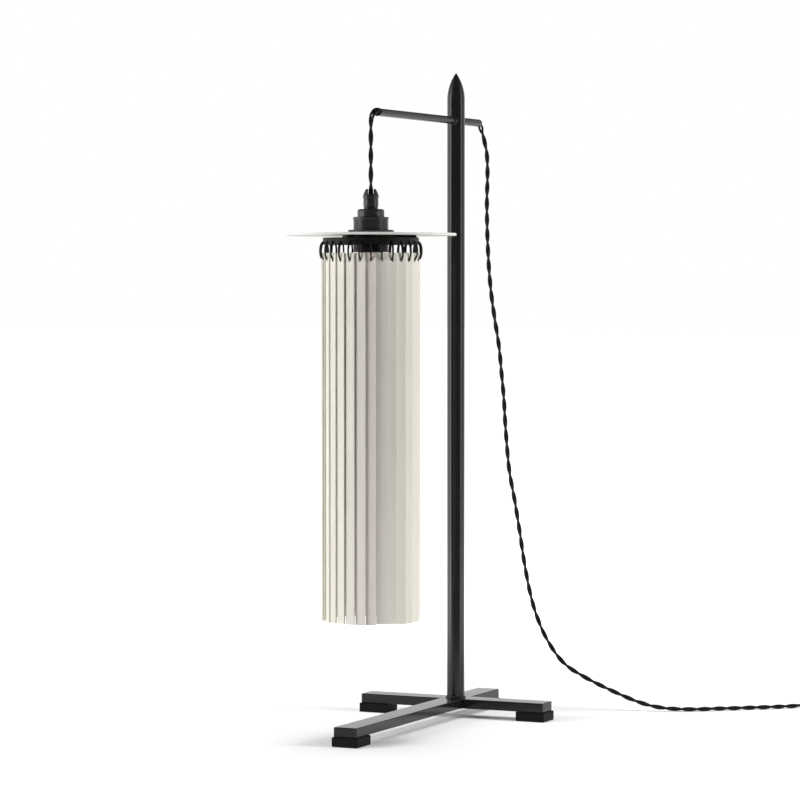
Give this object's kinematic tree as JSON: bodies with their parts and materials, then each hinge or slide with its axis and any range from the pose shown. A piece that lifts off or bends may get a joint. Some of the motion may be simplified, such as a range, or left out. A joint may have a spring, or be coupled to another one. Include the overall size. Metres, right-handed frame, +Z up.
{
  "type": "table lamp",
  "caption": "Tall table lamp: black post on a cross foot, thin arm, and a hanging cylindrical shade of long pale slats under a flat disc, with a twisted black flex.",
  "frame": {"origin": "on the supporting surface under the middle of the lamp's box, cord left out", "axes": "+Z up, -Y towards the front where the shade hangs, +X to the right seen from the front"},
  "size_m": [0.5471, 0.6143, 0.732],
  "materials": {
    "black_steel": "satin black paint",
    "zinc_steel": "bright zinc",
    "pad_rubber": "matt black",
    "flex_fabric": "black braid over two twisted cores",
    "holder_plastic": "half-gloss black moulding",
    "core_ceramic": "unglazed",
    "contact_brass": "bright",
    "disc_paint": "matt off-white paint",
    "slat_pale": "matt off-white",
    "bulb_glass": "frosted",
    "bulb_metal": "bright",
    "plug_rubber": "matt black",
    "pin_metal": "nickelled"
  },
  "bodies": {
    "stand": {"pole_tube": "black_steel", "pole_tip": "black_steel", "pole_foot_plug": "zinc_steel", "weld_beads": "black_steel", "arm_tube": "black_steel", "arm_front_bush": "holder_plastic", "base_long_bar": "black_steel", "base_cross_bar": "black_steel", "foot_pads": "pad_rubber", "pad_screws": "zinc_steel", "base_bolt": "black_steel", "arm_flex": "flex_fabric", "rear_flex": "flex_fabric", "cord_coil": "flex_fabric", "coil_tie": "plug_rubber", "plug_body": "plug_rubber", "plug_pins": "pin_metal"},
    "link": {"flex_link": "flex_fabric"},
    "pendant": {"pendant_flex": "flex_fabric"},
    "shade": {"cord_grip": "holder_plastic", "grip_screw": "zinc_steel", "holder_cap": "holder_plastic", "holder_body": "holder_plastic", "holder_core": "core_ceramic", "holder_contacts": "contact_brass", "clamp_rings": "holder_plastic", "shade_disc": "disc_paint", "slat_carrier": "black_steel", "slat_hooks": "black_steel", "bulb_glass": "bulb_glass", "bulb_cap": "bulb_metal"},
    "slat_01_body": {"slat_01": "slat_pale"},
    "slat_02_body": {"slat_02": "slat_pale"},
    "slat_03_body": {"slat_03": "slat_pale"},
    "slat_04_body": {"slat_04": "slat_pale"},
    "slat_05_body": {"slat_05": "slat_pale"},
    "slat_06_body": {"slat_06": "slat_pale"},
    "slat_07_body": {"slat_07": "slat_pale"},
    "slat_08_body": {"slat_08": "slat_pale"},
    "slat_09_body": {"slat_09": "slat_pale"},
    "slat_10_body": {"slat_10": "slat_pale"},
    "slat_11_body": {"slat_11": "slat_pale"},
    "slat_12_body": {"slat_12": "slat_pale"},
    "slat_13_body": {"slat_13": "slat_pale"},
    "slat_14_body": {"slat_14": "slat_pale"},
    "slat_15_body": {"slat_15": "slat_pale"},
    "slat_16_body": {"slat_16": "slat_pale"},
    "slat_17_body": {"slat_17": "slat_pale"},
    "slat_18_body": {"slat_18": "slat_pale"},
    "slat_19_body": {"slat_19": "slat_pale"},
    "slat_20_body": {"slat_20": "slat_pale"},
    "slat_21_body": {"slat_21": "slat_pale"},
    "slat_22_body": {"slat_22": "slat_pale"},
    "slat_23_body": {"slat_23": "slat_pale"},
    "slat_24_body": {"slat_24": "slat_pale"},
    "slat_25_body": {"slat_25": "slat_pale"},
    "slat_26_body": {"slat_26": "slat_pale"},
    "slat_27_body": {"slat_27": "slat_pale"},
    "slat_28_body": {"slat_28": "slat_pale"}
  },
  "joints": [
    {"name": "pendant_swing_x", "type": "hinge", "parent": "stand", "child": "link", "pos_m": [0, -0.114, 0.6675], "axis": [1, 0, 0], "range_deg": [-8, 8]},
    {"name": "pendant_swing_y", "type": "hinge", "parent": "link", "child": "pendant", "pos_m": [0, -0.114, 0.6575], "axis": [0, 1, 0], "range_deg": [-8, 8]},
    {"name": "shade_twist", "type": "hinge", "parent": "pendant", "child": "shade", "pos_m": [0, -0.114, 0.575], "axis": [0, 0, 1], "range_deg": [-45, 45]},
    {"name": "slat_01_swing", "type": "hinge", "parent": "shade", "child": "slat_01_body", "pos_m": [0, -0.165, 0.51875], "axis": [-1, 0, 0], "range_deg": [0, 8]},
    {"name": "slat_02_swing", "type": "hinge", "parent": "shade", "child": "slat_02_body", "pos_m": [0.01135, -0.16372, 0.51875], "axis": [-0.9749, -0.2225, 0], "range_deg": [0, 8]},
    {"name": "slat_03_swing", "type": "hinge", "parent": "shade", "child": "slat_03_body", "pos_m": [0.02213, -0.15995, 0.51875], "axis": [-0.901, -0.4339, 0], "range_deg": [0, 8]},
    {"name": "slat_04_swing", "type": "hinge", "parent": "shade", "child": "slat_04_body", "pos_m": [0.0318, -0.15387, 0.51875], "axis": [-0.7818, -0.6235, 0], "range_deg": [0, 8]},
    {"name": "slat_05_swing", "type": "hinge", "parent": "shade", "child": "slat_05_body", "pos_m": [0.03987, -0.1458, 0.51875], "axis": [-0.6235, -0.7818, 0], "range_deg": [0, 8]},
    {"name": "slat_06_swing", "type": "hinge", "parent": "shade", "child": "slat_06_body", "pos_m": [0.04595, -0.13613, 0.51875], "axis": [-0.4339, -0.901, 0], "range_deg": [0, 8]},
    {"name": "slat_07_swing", "type": "hinge", "parent": "shade", "child": "slat_07_body", "pos_m": [0.04972, -0.12535, 0.51875], "axis": [-0.2225, -0.9749, 0], "range_deg": [0, 8]},
    {"name": "slat_08_swing", "type": "hinge", "parent": "shade", "child": "slat_08_body", "pos_m": [0.051, -0.114, 0.51875], "axis": [0, -1, 0], "range_deg": [0, 8]},
    {"name": "slat_09_swing", "type": "hinge", "parent": "shade", "child": "slat_09_body", "pos_m": [0.04972, -0.10265, 0.51875], "axis": [0.2225, -0.9749, 0], "range_deg": [0, 8]},
    {"name": "slat_10_swing", "type": "hinge", "parent": "shade", "child": "slat_10_body", "pos_m": [0.04595, -0.09187, 0.51875], "axis": [0.4339, -0.901, 0], "range_deg": [0, 8]},
    {"name": "slat_11_swing", "type": "hinge", "parent": "shade", "child": "slat_11_body", "pos_m": [0.03987, -0.0822, 0.51875], "axis": [0.6235, -0.7818, 0], "range_deg": [0, 8]},
    {"name": "slat_12_swing", "type": "hinge", "parent": "shade", "child": "slat_12_body", "pos_m": [0.0318, -0.07413, 0.51875], "axis": [0.7818, -0.6235, 0], "range_deg": [0, 8]},
    {"name": "slat_13_swing", "type": "hinge", "parent": "shade", "child": "slat_13_body", "pos_m": [0.02213, -0.06805, 0.51875], "axis": [0.901, -0.4339, 0], "range_deg": [0, 8]},
    {"name": "slat_14_swing", "type": "hinge", "parent": "shade", "child": "slat_14_body", "pos_m": [0.01135, -0.06428, 0.51875], "axis": [0.9749, -0.2225, 0], "range_deg": [0, 8]},
    {"name": "slat_15_swing", "type": "hinge", "parent": "shade", "child": "slat_15_body", "pos_m": [0, -0.063, 0.51875], "axis": [1, 0, 0], "range_deg": [0, 8]},
    {"name": "slat_16_swing", "type": "hinge", "parent": "shade", "child": "slat_16_body", "pos_m": [-0.01135, -0.06428, 0.51875], "axis": [0.9749, 0.2225, 0], "range_deg": [0, 8]},
    {"name": "slat_17_swing", "type": "hinge", "parent": "shade", "child": "slat_17_body", "pos_m": [-0.02213, -0.06805, 0.51875], "axis": [0.901, 0.4339, 0], "range_deg": [0, 8]},
    {"name": "slat_18_swing", "type": "hinge", "parent": "shade", "child": "slat_18_body", "pos_m": [-0.0318, -0.07413, 0.51875], "axis": [0.7818, 0.6235, 0], "range_deg": [0, 8]},
    {"name": "slat_19_swing", "type": "hinge", "parent": "shade", "child": "slat_19_body", "pos_m": [-0.03987, -0.0822, 0.51875], "axis": [0.6235, 0.7818, 0], "range_deg": [0, 8]},
    {"name": "slat_20_swing", "type": "hinge", "parent": "shade", "child": "slat_20_body", "pos_m": [-0.04595, -0.09187, 0.51875], "axis": [0.4339, 0.901, 0], "range_deg": [0, 8]},
    {"name": "slat_21_swing", "type": "hinge", "parent": "shade", "child": "slat_21_body", "pos_m": [-0.04972, -0.10265, 0.51875], "axis": [0.2225, 0.9749, 0], "range_deg": [0, 8]},
    {"name": "slat_22_swing", "type": "hinge", "parent": "shade", "child": "slat_22_body", "pos_m": [-0.051, -0.114, 0.51875], "axis": [0, 1, 0], "range_deg": [0, 8]},
    {"name": "slat_23_swing", "type": "hinge", "parent": "shade", "child": "slat_23_body", "pos_m": [-0.04972, -0.12535, 0.51875], "axis": [-0.2225, 0.9749, 0], "range_deg": [0, 8]},
    {"name": "slat_24_swing", "type": "hinge", "parent": "shade", "child": "slat_24_body", "pos_m": [-0.04595, -0.13613, 0.51875], "axis": [-0.4339, 0.901, 0], "range_deg": [0, 8]},
    {"name": "slat_25_swing", "type": "hinge", "parent": "shade", "child": "slat_25_body", "pos_m": [-0.03987, -0.1458, 0.51875], "axis": [-0.6235, 0.7818, 0], "range_deg": [0, 8]},
    {"name": "slat_26_swing", "type": "hinge", "parent": "shade", "child": "slat_26_body", "pos_m": [-0.0318, -0.15387, 0.51875], "axis": [-0.7818, 0.6235, 0], "range_deg": [0, 8]},
    {"name": "slat_27_swing", "type": "hinge", "parent": "shade", "child": "slat_27_body", "pos_m": [-0.02213, -0.15995, 0.51875], "axis": [-0.901, 0.4339, 0], "range_deg": [0, 8]},
    {"name": "slat_28_swing", "type": "hinge", "parent": "shade", "child": "slat_28_body", "pos_m": [-0.01135, -0.16372, 0.51875], "axis": [-0.9749, 0.2225, 0], "range_deg": [0, 8]}
  ]
}
